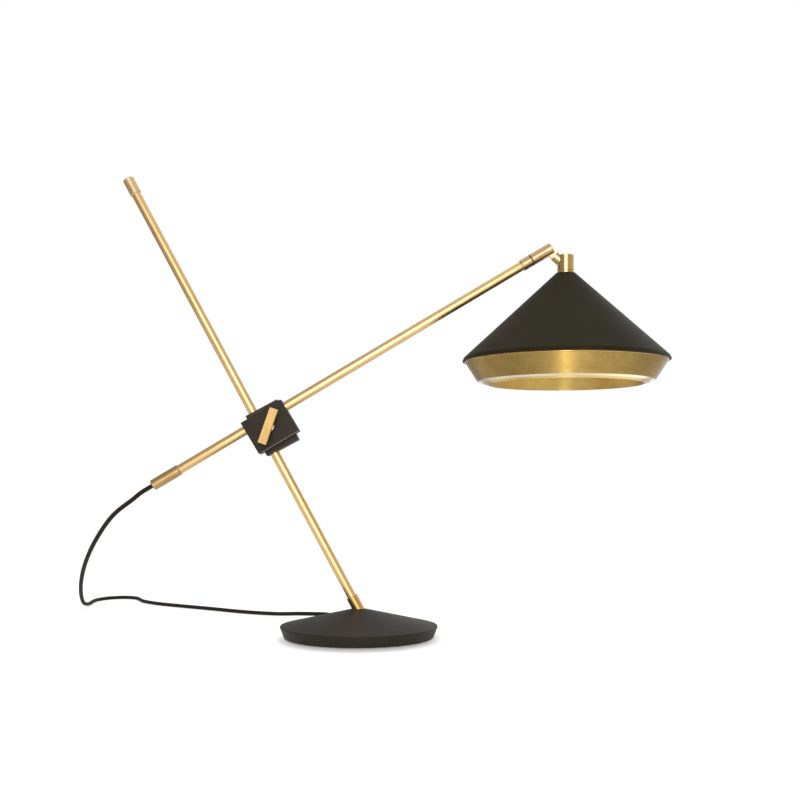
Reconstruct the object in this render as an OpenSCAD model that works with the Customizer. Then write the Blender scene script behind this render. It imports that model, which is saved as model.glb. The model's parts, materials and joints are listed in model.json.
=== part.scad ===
// Desk lamp made of two crossed brass rods. The mast leans out of a heavy round base, the arm
// carries a conical shade, and a double clamp with one lever grips both rods where they cross.
// X runs from the cord's end of the arm to the shade, -Y faces the lever, and Z is up. The origin
// is the centre of the base's underside. All lengths are millimetres and all angles degrees.

/* [Base] */
// Diameter of the base at its rim, where the undercut side meets the cone
base_d = 188; // [150:1:230]
// Diameter of the base where it meets the table
base_foot_d = 178; // [140:1:220]
// Height of the rim above the table
rim_h = 13.8; // [8:0.1:20]
// Height of the base's flat tip, where the mast comes out
base_h = 34.5; // [28:0.1:45]
// Diameter of the flat tip
tip_d = 10; // [6:0.5:16]
// Width of the chamfer round the rim
rim_chamfer = 0.7; // [0.2:0.1:2]
// Distance from the base's lower edge in to the felt
felt_margin = 7; // [3:0.5:20]
// Thickness of the felt pad
felt_t = 2; // [1:0.1:4]
// Depth of the recess that the felt is glued into
felt_recess = 1.2; // [0.5:0.1:3]

/* [Mast] */
// Lean of the mast from upright, towards the cord's end
mast_lean = 28.2; // [10:0.1:35]
// Length of the mast from the base's centre line to its top
mast_len = 581.6; // [400:0.1:800]
// Depth of the mast's crossing with the base's centre line, below the flat tip
mast_sink = 2; // [0:0.1:6]
// Outside diameter of both rods
rod_d = 10.9; // [8:0.1:12]
// Wall of both rods, which are tubes
tube_wall = 1; // [0.6:0.1:1.6]
// Outside diameter of the socket at the mast's foot
socket_d = 13.8; // [13:0.1:18]
// Length of the socket above the base's centre
socket_up = 18.2; // [12:0.1:40]
// Depth that the socket reaches into the base
socket_down = 14; // [8:0.5:17]
// Thickness of the socket's floor, below the tube
socket_floor = 12; // [6:0.5:13]
// Diameter of the bolt that pulls the socket down
foot_bolt_d = 6; // [4:0.5:8]
// Thickness of iron between the socket and the foot bolt's head
foot_bolt_web = 8; // [5:0.5:10]
// Outside diameter of the cap on the mast's top
cap_d = 13.3; // [12:0.1:18]
// Length of the cap
cap_l = 21; // [10:0.5:40]
// Thickness of the cap's closed end
cap_end = 3; // [1:0.5:6]

/* [Clamp] */
// Distance along the mast from its foot to the clamp's bolt
clamp_up = 239; // [90:1:460]
// Distance from each rod's centre line to the clamp's bolt
rod_offset = 12; // [11.5:0.1:14]
// Length of each clamp block, along its rod
block_l = 54; // [40:1:80]
// Width of each clamp block, across its rod
block_w = 42.5; // [41:0.5:60]
// Thickness of each clamp block
block_t = 20; // [17:0.5:26]
// Chamfer on the corners of the clamp blocks
block_chamfer = 0.8; // [0.2:0.1:3]
// Width of the saw cut that lets each block pinch its rod
kerf = 1.6; // [0.8:0.1:3]
// Wall of the split liners between the blocks and the rods
bush_wall = 1; // [0.8:0.1:1.5]
// Length that each liner stops short of its block
bush_short = 1; // [0.5:0.5:4]
// Thickness of the space between the two blocks
washer_t = 2; // [1:0.1:4]
// Diameter of the friction washer between the blocks
washer_d = 34; // [22:0.5:40]
// Diameter of the clamp's bolt
bolt_d = 8; // [6:0.5:8]
// Width across the flats of the clamp's nut
nut_af = 13; // [12:0.5:16]
// Height of the clamp's nut
nut_h = 6.5; // [4:0.1:8]

/* [Lever] */
// Length of the square brass lever
lever_l = 42.5; // [30:0.5:60]
// Width of the lever
lever_w = 9.6; // [8.6:0.1:16]
// Depth of the lever, front to back
lever_t = 10; // [8:0.5:14]
// Lean of the lever from upright, towards the shade
lever_lean = 19.4; // [0:0.1:90]
// Diameter of the round boss that the lever stands on
boss_d = 12; // [11:0.5:18]
// Length of the boss
boss_l = 10; // [5:0.5:16]
// Depth that the bolt reaches into the lever
lever_grip = 6; // [3:0.5:7]

/* [Arm] */
// Rise of the arm above level, towards the shade
arm_rise = 30.75; // [10:0.05:45]
// Distance along the arm from the clamp to the cord's end
arm_tail = 153.3; // [100:0.1:250]
// Distance along the arm from the clamp to the far end of the fork
arm_head = 389.7; // [250:0.1:500]
// Outside diameter of the sleeve at the cord's end
sleeve_d = 13; // [12:0.1:18]
// Length of that sleeve
sleeve_l = 36.8; // [28:0.1:60]
// Length of the tapered cord grip inside the sleeve
grip_l = 20; // [12:0.5:24]
// Diameter of the cord grip at the sleeve's mouth
grip_d = 7.6; // [6.6:0.1:8]
// Outside diameter of the collar and of the fork at the arm's upper end
collar_d = 13.5; // [12.6:0.1:18]
// Length of the fixed collar
collar_l = 13; // [11:0.1:20]
// Depth that the arm's tube reaches into the collar
collar_seat = 6; // [4:0.5:7]
// Thickness of the collar's end wall
collar_wall = 3; // [1.5:0.1:3.5]
// Width of the open line between the collar and the fork
swivel_gap = 1.2; // [0.4:0.1:3]
// Diameter of the fork's spigot, which turns in the collar
spigot_d = 7.9; // [7:0.1:8.4]
// Bore through the spigot for the wires
wire_d = 5.6; // [4:0.1:6]
// Length of the fork, without its spigot
fork_l = 27; // [20:0.1:40]
// Depth of the fork's slot
slot_depth = 12; // [10.5:0.5:16]

/* [Knuckle] */
// Distance from the fork's end back to the hinge pin
pin_back = 5; // [4:0.1:6]
// Diameter of the hinge pin
pin_d = 3.5; // [2:0.1:4]
// Thickness of the hinge tongue
tongue_t = 4; // [2.5:0.1:5]
// Width of the hinge tongue
tongue_w = 9; // [7:0.1:10]
// Angle of the tongue below level
knuckle_drop = 40; // [20:0.5:60]
// Distance from the hinge pin to the round stub that carries the shade
stub_start = 10; // [9.5:0.1:14]
// Diameter of that stub
stub_d = 12.5; // [10:0.1:14]
// Distance from the hinge pin to the shade's centre line, along the stub
stub_reach = 27; // [24:0.1:40]

/* [Shade] */
// Diameter of the brass collar on top of the shade
neck_d = 19.4; // [17:0.1:26]
// Height of that collar and the ring under it, together
neck_h = 21.2; // [20:0.1:30]
// Height of the ring under the collar
neck_ring_h = 2.9; // [1.5:0.1:5]
// Height of the stub's centre line above the shade's top
stub_up = 9.6; // [9:0.1:12]
// Diameter of the shade's flat top
cone_top_d = 25.6; // [21:0.1:40]
// Diameter of the cone where it meets the hem
cone_d = 238.2; // [200:0.1:280]
// Height of the cone
cone_h = 97.5; // [80:0.5:120]
// Height of the hem round the cone's edge
hem_h = 3; // [2:0.1:8]
// Distance that the hem spreads out
hem_out = 1.4; // [0:0.1:2]
// Thickness of the shade's sheet metal
sheet = 1.2; // [0.8:0.1:1.5]
// Height of the brass ring below the hem
flare_h = 24.6; // [15:0.1:40]
// Distance that the brass ring draws in on its way down
flare_in = 15.7; // [8:0.1:30]
// Height of the lip that turns in under the ring
lip_h = 3.8; // [1:0.1:8]
// Width of that lip
lip_w = 13.1; // [6:0.1:20]
// Space between the cone and the reflector inside it
reflector_gap = 0.3; // [0.2:0.1:1]
// Diameter at which the reflector leaves the cone and turns down to the lip
reflector_turn_d = 130; // [110:1:150]

/* [Lamp] */
// Diameter of the threaded tube that holds the shade and the lampholder
nipple_d = 10; // [8:0.5:10]
// Bore of that tube
nipple_bore = 7.2; // [4:0.1:7.5]
// Depth that the threaded tube reaches into the collar
nipple_up = 9; // [5:0.5:12]
// Width across the flats of the nut under the shade's top
shade_nut_af = 14; // [13:0.5:17]
// Height of that nut
shade_nut_h = 4; // [3:0.1:5]
// Diameter of the lampholder
holder_d = 38; // [34:0.5:44]
// Length of the lampholder
holder_l = 44; // [38:0.5:50]
// Bore of the lampholder, for the bulb's cap
holder_bore = 27.2; // [26.6:0.1:28]
// Depth of that bore
holder_depth = 28; // [24:0.5:30]
// Diameter of the bulb's screw cap over its thread
bulb_cap_d = 26.2; // [25:0.1:26.4]
// Diameter of the bulb
bulb_d = 45; // [40:0.5:50]

/* [Cord] */
// Diameter of the mains cord
cord_d = 5.2; // [4.5:0.1:5.4]
// Radius of the coil's innermost turn
coil_r = 20.8; // [20:0.1:24]
// Open space between the coil's turns
coil_gap = 0.5; // [0.45:0.05:1.5]
// Width of the tie round the coil
tie_w = 6; // [4:0.5:10]
// Thickness of the tie
tie_t = 0.3; // [0.2:0.05:0.35]

/* [Plug] */
// Length of the plug's body
plug_l = 22; // [20:0.5:30]
// Width of the plug's body
plug_w = 19; // [18:0.5:19.5]
// Thickness of the plug's body
plug_t = 9.6; // [9:0.1:11]
// Length of the plug's tapered cord guard
guard_l = 12; // [8:0.5:14]
// Length of the plug's blades
blade_l = 16; // [14:0.5:18]
// Height of a blade
blade_h = 6.3; // [5:0.1:7]
// Thickness of a blade
blade_t = 1.5; // [1:0.1:2]
// Distance between the blades' centres
blade_pitch = 12.7; // [11:0.1:14]

/* [Hidden] */
$fn = 96;

brass = [0.80, 0.62, 0.33];
pale_brass = [0.87, 0.72, 0.47];
black = [0.17, 0.16, 0.14];
steel = [0.62, 0.62, 0.64];
liner = [0.88, 0.87, 0.82];
rubber = [0.12, 0.12, 0.12];

run_fit = 0.05;          // radial room between pieces that turn or slide on each other
nut_fit = 0.1;           // room round the nut in its pocket
slot_fit = 0.1;          // room each side of the tongue in the fork
cut = 1;                 // how far a cutter runs past the face it cuts
edge = 0.5;              // small chamfer on turned ends
shoulder = 1.2;          // chamfer where a sleeve steps down to its rod

rod_r = rod_d / 2;
bore_r = rod_r - tube_wall;
bush_r = rod_r + bush_wall;
rod_pitch = block_t + washer_t;
casting_z = felt_t - felt_recess;

// The mast runs along its own Z from the foot, and its own +X side faces the clamp's bolt.
foot = [0, 0, base_h - mast_sink];
mast_dir = [-sin(mast_lean), 0, cos(mast_lean)];
mast_side = [cos(mast_lean), 0, sin(mast_lean)];
bolt_at = foot + clamp_up * mast_dir + rod_offset * mast_side;

// The arm runs along its own Z towards the shade, in a plane in front of the mast's.
arm_dir = [cos(arm_rise), 0, sin(arm_rise)];
arm_side = [sin(arm_rise), 0, -cos(arm_rise)];
arm_at = bolt_at - rod_offset * arm_side - [0, rod_pitch, 0];

fork_at = arm_head - fork_l;
collar_at = fork_at - swivel_gap - collar_l;
collar_room = collar_l - collar_wall;
clip_t = 1;
clip_w = 0.8;
clip_at = fork_at - swivel_gap - collar_wall - run_fit - clip_t;
spigot_end = clip_at - edge;

knuckle_at = arm_at + (arm_head - pin_back) * arm_dir;
tongue_dir = [cos(knuckle_drop), 0, -sin(knuckle_drop)];
shade_at = knuckle_at + stub_reach * tongue_dir - [0, 0, stub_up];

tube_mouth = -arm_tail * arm_dir + arm_at;
grip_inner_d = rod_d - edge;

// Heights in the shade, below its top
nut_top = -sheet;
holder_top = nut_top - shade_nut_h;
holder_end = holder_top - holder_l;
contact_t = 1.2;
contact_z = holder_end + holder_depth;
cap_show = 2;
cap_bottom = holder_end - cap_show;
hem_z = -sheet - cone_h;
rim_z = hem_z - hem_h;
hem_r = cone_d / 2;

// Smooth curve through hand-chosen points, with straight ends, and its heading at each ring
function unit(v) = v / norm(v);
function mid_curve(a, b, c, d, t) =
    0.5 * (2 * b + (c - a) * t + (2 * a - 5 * b + 4 * c - d) * t * t
        + (3 * b - a - 3 * c + d) * t * t * t);
function curve(p, steps) = let (n = len(p)) concat([p[0]],
    [for (i = [1:n - 3]) for (k = [0:steps - 1])
        mid_curve(p[i - 1], p[i], p[i + 1], p[i + 2], k / steps)],
    [p[n - 2], p[n - 1]]);
function heading(p, i) = unit(p[min(i + 1, len(p) - 1)] - p[max(i - 1, 0)]);
function path_length(p) =
    let (steps = [for (i = [1:len(p) - 1]) norm(p[i] - p[i - 1])]) steps * [for (s = steps) 1];

// The run crosses the coil above its turns. The coil then drops to the table in its first half
// turn and winds outwards, anticlockwise from above, flat behind the base.
cord_clear = 0.6;
cord_z = cord_d / 2 + cord_clear;
coil_pitch = cord_d + coil_gap;
coil_climb = cord_d + 0.25;
coil_at = [-14, 142];
coil_start = 231;
coil_turns = 4.125;
coil_rings = 24;
coil_sides = 6;
cord_sides = 8;
cord_steps = 3;
function coil_drop(t) = let (k = min(1, 2 * t)) coil_climb * (1 - k * k * (3 - 2 * k));
function coil_point(t) = let (a = coil_start + 360 * t, r = coil_r + coil_pitch * t)
    [coil_at[0] + r * cos(a), coil_at[1] + r * sin(a), cord_z + coil_drop(t)];
function coil_way(t) = let (a = coil_start + 360 * t) [-sin(a), cos(a), 0];
coil_in = coil_point(0) - cord_d * coil_way(0);
coil_out = coil_point(coil_turns) + cord_d * coil_way(coil_turns);
coil_path = concat([coil_in],
    [for (k = [0:coil_rings * coil_turns]) coil_point(k / coil_rings)], [coil_out]);

// The cord falls from the arm behind the lamp, turns back on the table and runs to the coil.
straight = 14;
run_points = concat(
    [tube_mouth, tube_mouth - straight * arm_dir, tube_mouth - 2 * straight * arm_dir + [0, 2, -2]],
    [[-290, -12, 145], [-317, 18, 117], [-342, 62, 88], [-364, 116, 60], [-382, 174, 35],
     [-395, 228, 16], [-404, 275, 7], [-410, 316, cord_z], [-413, 345, cord_z],
     [-410, 369, cord_z], [-398, 388, cord_z], [-378, 395, cord_z], [-359, 386, cord_z],
     [-348, 366, cord_z], [-336, 342, cord_z], [-308, 312, cord_z], [-268, 283, cord_z],
     [-220, 251, cord_z], [-170, 216, cord_z], [-122, 186, cord_z + 1], [-85, 161, cord_z + 4.2]],
    [coil_in - 2 * straight * coil_way(0), coil_in - straight * coil_way(0), coil_in]);
run_path = curve(run_points, cord_steps);

// The plug lies behind the base, close to its rim.
plug_clear = 0.3;
plug_at = [24, 100.8, plug_t / 2 + plug_clear];
plug_turn = -8;
plug_dir = [cos(plug_turn), sin(plug_turn), 0];
lead_points = concat([coil_out, coil_out + cord_d * coil_way(coil_turns)],
    [[7, 100.2, cord_z + 0.2], [13, 101.3, cord_z + 1]], [plug_at - cord_d * plug_dir, plug_at]);
lead_path = curve(lead_points, 2);
tie_angle = 90;
tie_fit = 0.25;

echo(cord_length = path_length(run_path) + path_length(coil_path) + path_length(lead_path));
echo(least_coil_gap = min([for (i = [0:len(coil_path) - 1])
    for (j = [i + coil_rings / 2:len(coil_path) - 1]) norm(coil_path[i] - coil_path[j])]) - cord_d);

module on_mast(s) { translate(foot) rotate([0, -mast_lean, 0]) translate([0, 0, s]) children(); }
module on_arm(s) { translate(arm_at) rotate([0, 90 - arm_rise, 0]) translate([0, 0, s]) children(); }
module on_bolt(y) { translate(bolt_at + [0, y, 0]) rotate([-90, 0, 0]) children(); }
module on_shade(z) { translate(shade_at + [0, 0, z]) children(); }
module on_plug() { translate(plug_at) rotate([0, 0, plug_turn]) children(); }

// Round bar along Z with a chamfer at each end
module turned(r, h, low, high) {
    rotate_extrude() polygon([
        [0, 0], [r - low, 0], [r, low], [r, h - high], [r - high, h], [0, h]]);
}

module bore(r, low, high) {
    translate([0, 0, low]) cylinder(r = r, h = high - low);
}

// Tube of given corner count swept along a path, each ring square to the path
module sweep(p, r, sides) {
    n = len(p);
    points = [for (i = [0:n - 1]) let (
        t = heading(p, i), u = unit(cross([0, 0, 1], t)), v = cross(t, u))
        for (k = [0:sides - 1]) p[i] + r * (cos(360 * k / sides) * u + sin(360 * k / sides) * v)];
    sides_faces = [for (i = [0:n - 2]) for (k = [0:sides - 1]) let (
        a = i * sides + k, b = i * sides + (k + 1) % sides)
        each [[a, a + sides, b + sides], [a, b + sides, b]]];
    ends = [[for (k = [0:sides - 1]) k], [for (k = [sides - 1:-1:0]) (n - 1) * sides + k]];
    polyhedron(points, concat(sides_faces, ends));
}

// ---- base and mast -------------------------------------------------------------------------

module base_weight() {
    rim_r = base_d / 2;
    foot_r = base_foot_d / 2;
    side_run = (rim_r - foot_r) * rim_chamfer / rim_h;
    top_slope = (base_h - rim_h) / (rim_r - tip_d / 2);
    head_seat = -socket_down - foot_bolt_web;
    color(black) difference() {
        rotate_extrude() polygon([
            [0, casting_z], [foot_r, casting_z], [rim_r - side_run, rim_h - rim_chamfer],
            [rim_r - rim_chamfer, rim_h + rim_chamfer * top_slope], [tip_d / 2, base_h], [0, base_h]]);
        cylinder(r = foot_r - felt_margin, h = felt_t);
        on_mast(0) bore(socket_d / 2, -socket_down, socket_up + base_h);
        on_mast(0) bore(foot_bolt_d / 2, head_seat - cut, -socket_down + cut);
        on_mast(0) bore(foot_bolt_d, head_seat - 2 * base_h, head_seat);
    }
}

module felt_pad() {
    color([0.10, 0.10, 0.10]) cylinder(r = base_foot_d / 2 - felt_margin, h = felt_t);
}

// Cap screw from below, along the mast, into the socket's floor
module foot_bolt() {
    head_seat = -socket_down - foot_bolt_web;
    key_af = 5;
    head_r = foot_bolt_d * 0.83;
    color(steel) on_mast(head_seat) difference() {
        union() {
            bore(foot_bolt_d / 2, 0, foot_bolt_web + socket_floor - 2 * cut);
            bore(head_r, -foot_bolt_d, 0);
        }
        translate([0, 0, -foot_bolt_d - cut]) hex_bar(key_af, foot_bolt_d / 2 + cut);
    }
}

module mast_socket() {
    color(brass) on_mast(-socket_down) difference() {
        turned(socket_d / 2, socket_down + socket_up, edge, edge);
        bore(rod_r, socket_floor, socket_down + socket_up + cut);
        bore(foot_bolt_d / 2, -cut, socket_floor + cut);
    }
}

module mast_tube() {
    low = socket_floor - socket_down;
    color(brass) on_mast(low) difference() {
        cylinder(r = rod_r, h = mast_len - cap_end - low);
        bore(bore_r, -cut, mast_len);
    }
}

module mast_cap() {
    color(pale_brass) on_mast(mast_len - cap_l) difference() {
        turned(cap_d / 2, cap_l, shoulder, edge);
        bore(rod_r, -cut, cap_l - cap_end);
    }
}

// ---- clamp -----------------------------------------------------------------------------------

// Block with its rod's bore along Z, a saw cut from the bore out past the bolt, and the bolt's hole
module split_block() {
    half_l = block_l / 2;
    left = rod_offset - block_w / 2;
    right = rod_offset + block_w / 2;
    c = block_chamfer;
    difference() {
        rotate([90, 0, 0]) linear_extrude(block_t, center = true) polygon([
            [left + c, -half_l], [right - c, -half_l], [right, c - half_l], [right, half_l - c],
            [right - c, half_l], [left + c, half_l], [left, half_l - c], [left, c - half_l]]);
        bore(bush_r, -half_l - cut, half_l + cut);
        translate([0, -kerf / 2, -half_l - cut]) cube([right + cut, kerf, block_l + 2 * cut]);
        translate([rod_offset, 0, 0]) rotate([90, 0, 0])
            cylinder(r = bolt_d / 2 + run_fit, h = block_t + 2 * cut, center = true);
    }
}

// Liner sleeve, slit along the side that faces the saw cut
module split_bush(outer) {
    l = block_l - bush_short;
    difference() {
        bore(outer, -l / 2, l / 2);
        bore(rod_r + run_fit, -l, l);
        translate([0, -kerf / 2, -l]) cube([2 * outer, kerf, 2 * l]);
    }
}

module hex_bar(af, h) { cylinder(r = af / 2 / cos(30), h = h, $fn = 6); }

module mast_bush() { color(liner) on_mast(clamp_up) split_bush(bush_r - run_fit); }

module mast_block() {
    color(black) difference() {
        on_mast(clamp_up) split_block();
        on_bolt(block_t / 2 - nut_h) hex_bar(nut_af + 2 * nut_fit, nut_h + cut);
    }
}

module clamp_nut() {
    color(steel) on_bolt(block_t / 2 - nut_h) difference() {
        hex_bar(nut_af, nut_h);
        bore(bolt_d / 2 + run_fit, -cut, nut_h + cut);
    }
}

module friction_washer() {
    t = washer_t - run_fit;
    color([0.35, 0.28, 0.20]) on_bolt(-block_t / 2 - t) difference() {
        cylinder(r = washer_d / 2, h = t);
        bore(bolt_d / 2 + run_fit, -cut, washer_t + cut);
    }
}

module arm_block() { color(black) on_arm(0) split_block(); }

module arm_bush() { color(liner) on_arm(0) split_bush(bush_r); }

// The bolt, its boss and the lever turn as one piece, and the nut draws the two blocks together.
boss_back = -rod_pitch - block_t / 2 - run_fit;
boss_front = boss_back - boss_l;

module clamp_bolt() {
    front = boss_front - lever_grip;
    color(steel) on_bolt(front) turned(bolt_d / 2, block_t / 2 - front, edge, edge);
}

module lever_boss() {
    color(brass) on_bolt(boss_front) difference() {
        turned(boss_d / 2, boss_l, 0, edge);
        bore(bolt_d / 2, -cut, boss_l + cut);
    }
}

module clamp_lever() {
    c = edge;
    w = lever_w / 2;
    l = lever_l / 2;
    color(brass) difference() {
        translate(bolt_at + [0, boss_front - lever_t / 2, 0]) rotate([90, lever_lean, 0])
            linear_extrude(lever_t, center = true) polygon([
                [c - w, -l], [w - c, -l], [w, c - l], [w, l - c],
                [w - c, l], [c - w, l], [-w, l - c], [-w, c - l]]);
        on_bolt(boss_front - lever_grip) bore(bolt_d / 2, 0, lever_grip + cut);
    }
}

// ---- arm -------------------------------------------------------------------------------------

module arm_tube() {
    low = -arm_tail + grip_l;
    high = collar_at + collar_seat;
    color(brass) on_arm(low) difference() {
        cylinder(r = rod_r, h = high - low);
        bore(bore_r, -cut, high - low + cut);
    }
}

// Tapered seat for the cord's grip, wider inside so that a pull can't draw it out
module grip_taper() { cylinder(d1 = grip_d, d2 = grip_inner_d, h = grip_l); }

module tail_sleeve() {
    color(pale_brass) on_arm(-arm_tail) difference() {
        turned(sleeve_d / 2, sleeve_l, edge, shoulder);
        bore(rod_r, grip_l, sleeve_l + cut);
        grip_taper();
    }
}

module cord_grip() {
    color(rubber) on_arm(-arm_tail) difference() {
        grip_taper();
        bore(cord_d / 2, -cut, grip_l + cut);
    }
}

module inner_flex() {
    color(rubber) on_arm(-arm_tail) cylinder(d = cord_d, h = arm_tail + collar_at + collar_seat);
}

module arm_collar() {
    color(pale_brass) on_arm(collar_at) difference() {
        turned(collar_d / 2, collar_l, shoulder, edge / 2);
        bore(rod_r, -cut, collar_room);
        bore(spigot_d / 2 + run_fit, 0, collar_l + cut);
    }
}

// Open spring ring that keeps the spigot in the collar
module swivel_clip() {
    color(steel) on_arm(clip_at) difference() {
        cylinder(r = spigot_d / 2 + clip_w, h = clip_t);
        bore(spigot_d / 2, -cut, clip_t + cut);
        translate([0, -clip_w / 2, -cut]) cube([collar_d, clip_w, clip_t + 2 * cut]);
    }
}

module swivel_fork() {
    color(pale_brass) on_arm(0) difference() {
        union() {
            translate([0, 0, fork_at]) turned(collar_d / 2, fork_l, edge / 2, edge);
            bore(spigot_d / 2, spigot_end, fork_at + cut);
        }
        bore(wire_d / 2, spigot_end - cut, arm_head - slot_depth + cut);
        translate([-collar_d, -tongue_t / 2 - slot_fit, arm_head - slot_depth])
            cube([2 * collar_d, tongue_t + 2 * slot_fit, slot_depth + cut]);
        translate([0, 0, arm_head - pin_back]) rotate([90, 0, 0])
            cylinder(d = pin_d, h = 2 * collar_d, center = true);
    }
}

module knuckle_pin() {
    color(steel) translate(knuckle_at) rotate([90, 0, 0])
        cylinder(d = pin_d, h = collar_d - 2 * edge, center = true);
}

module knuckle_tongue() {
    color(brass) difference() {
        translate(knuckle_at) rotate([0, 90 + knuckle_drop, 0]) {
            rotate([90, 0, 0]) cylinder(d = tongue_w, h = tongue_t, center = true);
            translate([-tongue_w / 2, -tongue_t / 2, 0]) cube([tongue_w, tongue_t, stub_start + cut]);
            bore(stub_d / 2, stub_start, stub_reach);
        }
        on_shade(-neck_h) cylinder(d = neck_d, h = 3 * neck_h);
        translate(knuckle_at) rotate([90, 0, 0])
            cylinder(r = pin_d / 2 + run_fit, h = 2 * tongue_t, center = true);
    }
}

// ---- shade -----------------------------------------------------------------------------------

module shade_collar() {
    color(brass) on_shade(neck_ring_h) difference() {
        turned(neck_d / 2, neck_h - neck_ring_h, edge / 2, edge);
        bore(nipple_d / 2, -cut, nipple_up);
    }
}

module collar_ring() {
    color(brass) on_shade(0) difference() {
        turned(neck_d / 2, neck_ring_h, 0, edge / 2);
        bore(nipple_d / 2, -cut, neck_ring_h + cut);
    }
}

module threaded_tube() {
    low = holder_top - shade_nut_h;
    color(steel) on_shade(low) difference() {
        cylinder(d = nipple_d, h = neck_ring_h + nipple_up - low);
        bore(nipple_bore / 2, -cut, neck_h - low);
    }
}

module shade_nut() {
    color(steel) on_shade(holder_top) difference() {
        hex_bar(shade_nut_af, shade_nut_h);
        bore(nipple_d / 2, -cut, shade_nut_h + cut);
    }
}

// The sheet's thickness measured level and upright, on the cone's slope
cone_run = cone_h / (hem_r - cone_top_d / 2);
slope_len = sqrt(1 + cone_run * cone_run);
level_sheet = sheet * slope_len / cone_run;
flare_slope = flare_h / flare_in;
flare_sheet = sheet * sqrt(1 + flare_slope * flare_slope) / flare_slope;
seat_z = hem_z - edge;
flare_r = hem_r - level_sheet + hem_out;
flare_low_r = flare_r - flare_in;
lip_r = flare_low_r - lip_w;
lip_z = rim_z - flare_h - lip_h;
function cone_inner_r(z) = cone_top_d / 2 - level_sheet - (z + sheet) / cone_run;

module shade_cone() {
    top_r = cone_top_d / 2;
    color(black) on_shade(0) rotate_extrude($fn = 180) polygon([
        [nipple_d / 2, 0], [top_r - sheet, 0], [top_r, -sheet], [hem_r, hem_z],
        [hem_r + hem_out, rim_z], [hem_r + hem_out - level_sheet, rim_z],
        [hem_r - level_sheet, hem_z], [top_r - level_sheet, -sheet], [nipple_d / 2, -sheet]]);
}

module reflector() {
    top_z = holder_top - edge;
    t = level_sheet;
    g = reflector_gap * slope_len / cone_run;
    turn_r = reflector_turn_d / 2;
    turn_z = -sheet - cone_run * (turn_r + g + t - cone_top_d / 2);
    foot_z = lip_z + sheet;
    lip_rise = lip_h / (lip_w - flare_sheet / 2);
    color(pale_brass) on_shade(0) rotate_extrude($fn = 180) polygon([
        [cone_inner_r(top_z) - g, top_z], [turn_r, turn_z], [lip_r + sheet, foot_z + sheet * lip_rise],
        [lip_r, foot_z], [turn_r - t, turn_z], [cone_inner_r(top_z) - g - t, top_z]]);
}

module flare_ring() {
    t = flare_sheet;
    color(brass) on_shade(0) rotate_extrude($fn = 180) polygon([
        [flare_r - hem_out * (rim_z - seat_z) / -hem_h - run_fit, seat_z], [flare_r - run_fit, rim_z],
        [flare_low_r, rim_z - flare_h], [lip_r, lip_z],
        [lip_r, lip_z + sheet], [flare_low_r - t / 2, rim_z - flare_h + sheet],
        [flare_r - t, rim_z], [cone_inner_r(seat_z) - 2 * t, seat_z]]);
}

module lampholder() {
    r = holder_d / 2;
    top_r = cone_top_d / 2;
    fall = (r - top_r) * 1.2;
    color([0.10, 0.10, 0.10]) on_shade(0) difference() {
        rotate_extrude() polygon([
            [0, holder_top], [top_r, holder_top], [r, holder_top - fall],
            [r, holder_end], [0, holder_end]]);
        bore(nipple_d / 2, holder_top - shade_nut_h, holder_top + cut);
        bore(holder_bore / 2, holder_end - cut, contact_z);
    }
}

module holder_contact() {
    color(brass) on_shade(contact_z - contact_t) cylinder(r = holder_bore / 4, h = contact_t);
}

// Screw cap of the bulb: a round thread of a few ridges, and the centre contact on top
module bulb_cap() {
    r = bulb_cap_d / 2;
    ridge = 0.9;
    pitch = 3.6;
    tip_h = 4;
    top = contact_z - contact_t;
    thread_top = top - tip_h;
    turns = floor((thread_top - cap_bottom) / pitch) - 1;
    thread = [for (k = [0:turns - 1]) each [
        [r - ridge, thread_top - pitch * (k + 0.25)], [r, thread_top - pitch * (k + 0.75)]]];
    color(steel) on_shade(0) rotate_extrude() polygon(concat(
        [[0, top], [r / 4, top], [r / 3, top - tip_h / 2], [r - ridge, thread_top]], thread,
        [[r - ridge, cap_bottom + pitch], [r - ridge, cap_bottom], [0, cap_bottom]]));
}

module bulb_glass() {
    r = bulb_d / 2;
    neck_r = bulb_cap_d / 2 - 1;
    neck_l = 4;
    start = asin(neck_r / r);
    centre_z = cap_bottom - neck_l - r * cos(start);
    color([0.95, 0.94, 0.90]) on_shade(0) rotate_extrude() polygon(concat(
        [[0, cap_bottom], [neck_r, cap_bottom]],
        [for (k = [0:32]) let (a = start + (180 - start) * k / 32) [r * sin(a), centre_z + r * cos(a)]]));
}

// ---- cord ------------------------------------------------------------------------------------

module cord_run() { color(rubber) sweep(run_path, cord_d / 2, cord_sides); }

module cord_coil() { color(rubber) sweep(coil_path, cord_d / 2, coil_sides); }

module cord_lead() { color(rubber) sweep(lead_path, cord_d / 2, cord_sides); }

// Flat band round all the turns on one side of the coil
module cord_tie() {
    first = (tie_angle + 360 - coil_start) / 360;
    inner = coil_r + coil_pitch * first;
    outer = inner + coil_pitch * floor(coil_turns - first);
    r = cord_d / 2 + tie_fit;
    module band(r) {
        translate([inner, 0]) circle(r);
        translate([outer, 0]) circle(r);
        translate([inner, -r]) square([outer - inner, 2 * r]);
    }
    color([0.2, 0.2, 0.2]) translate([coil_at[0], coil_at[1], cord_z]) rotate([0, 0, tie_angle])
        rotate([90, 0, 0]) linear_extrude(tie_w, center = true) difference() {
            band(r + tie_t);
            band(r);
        }
}

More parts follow.
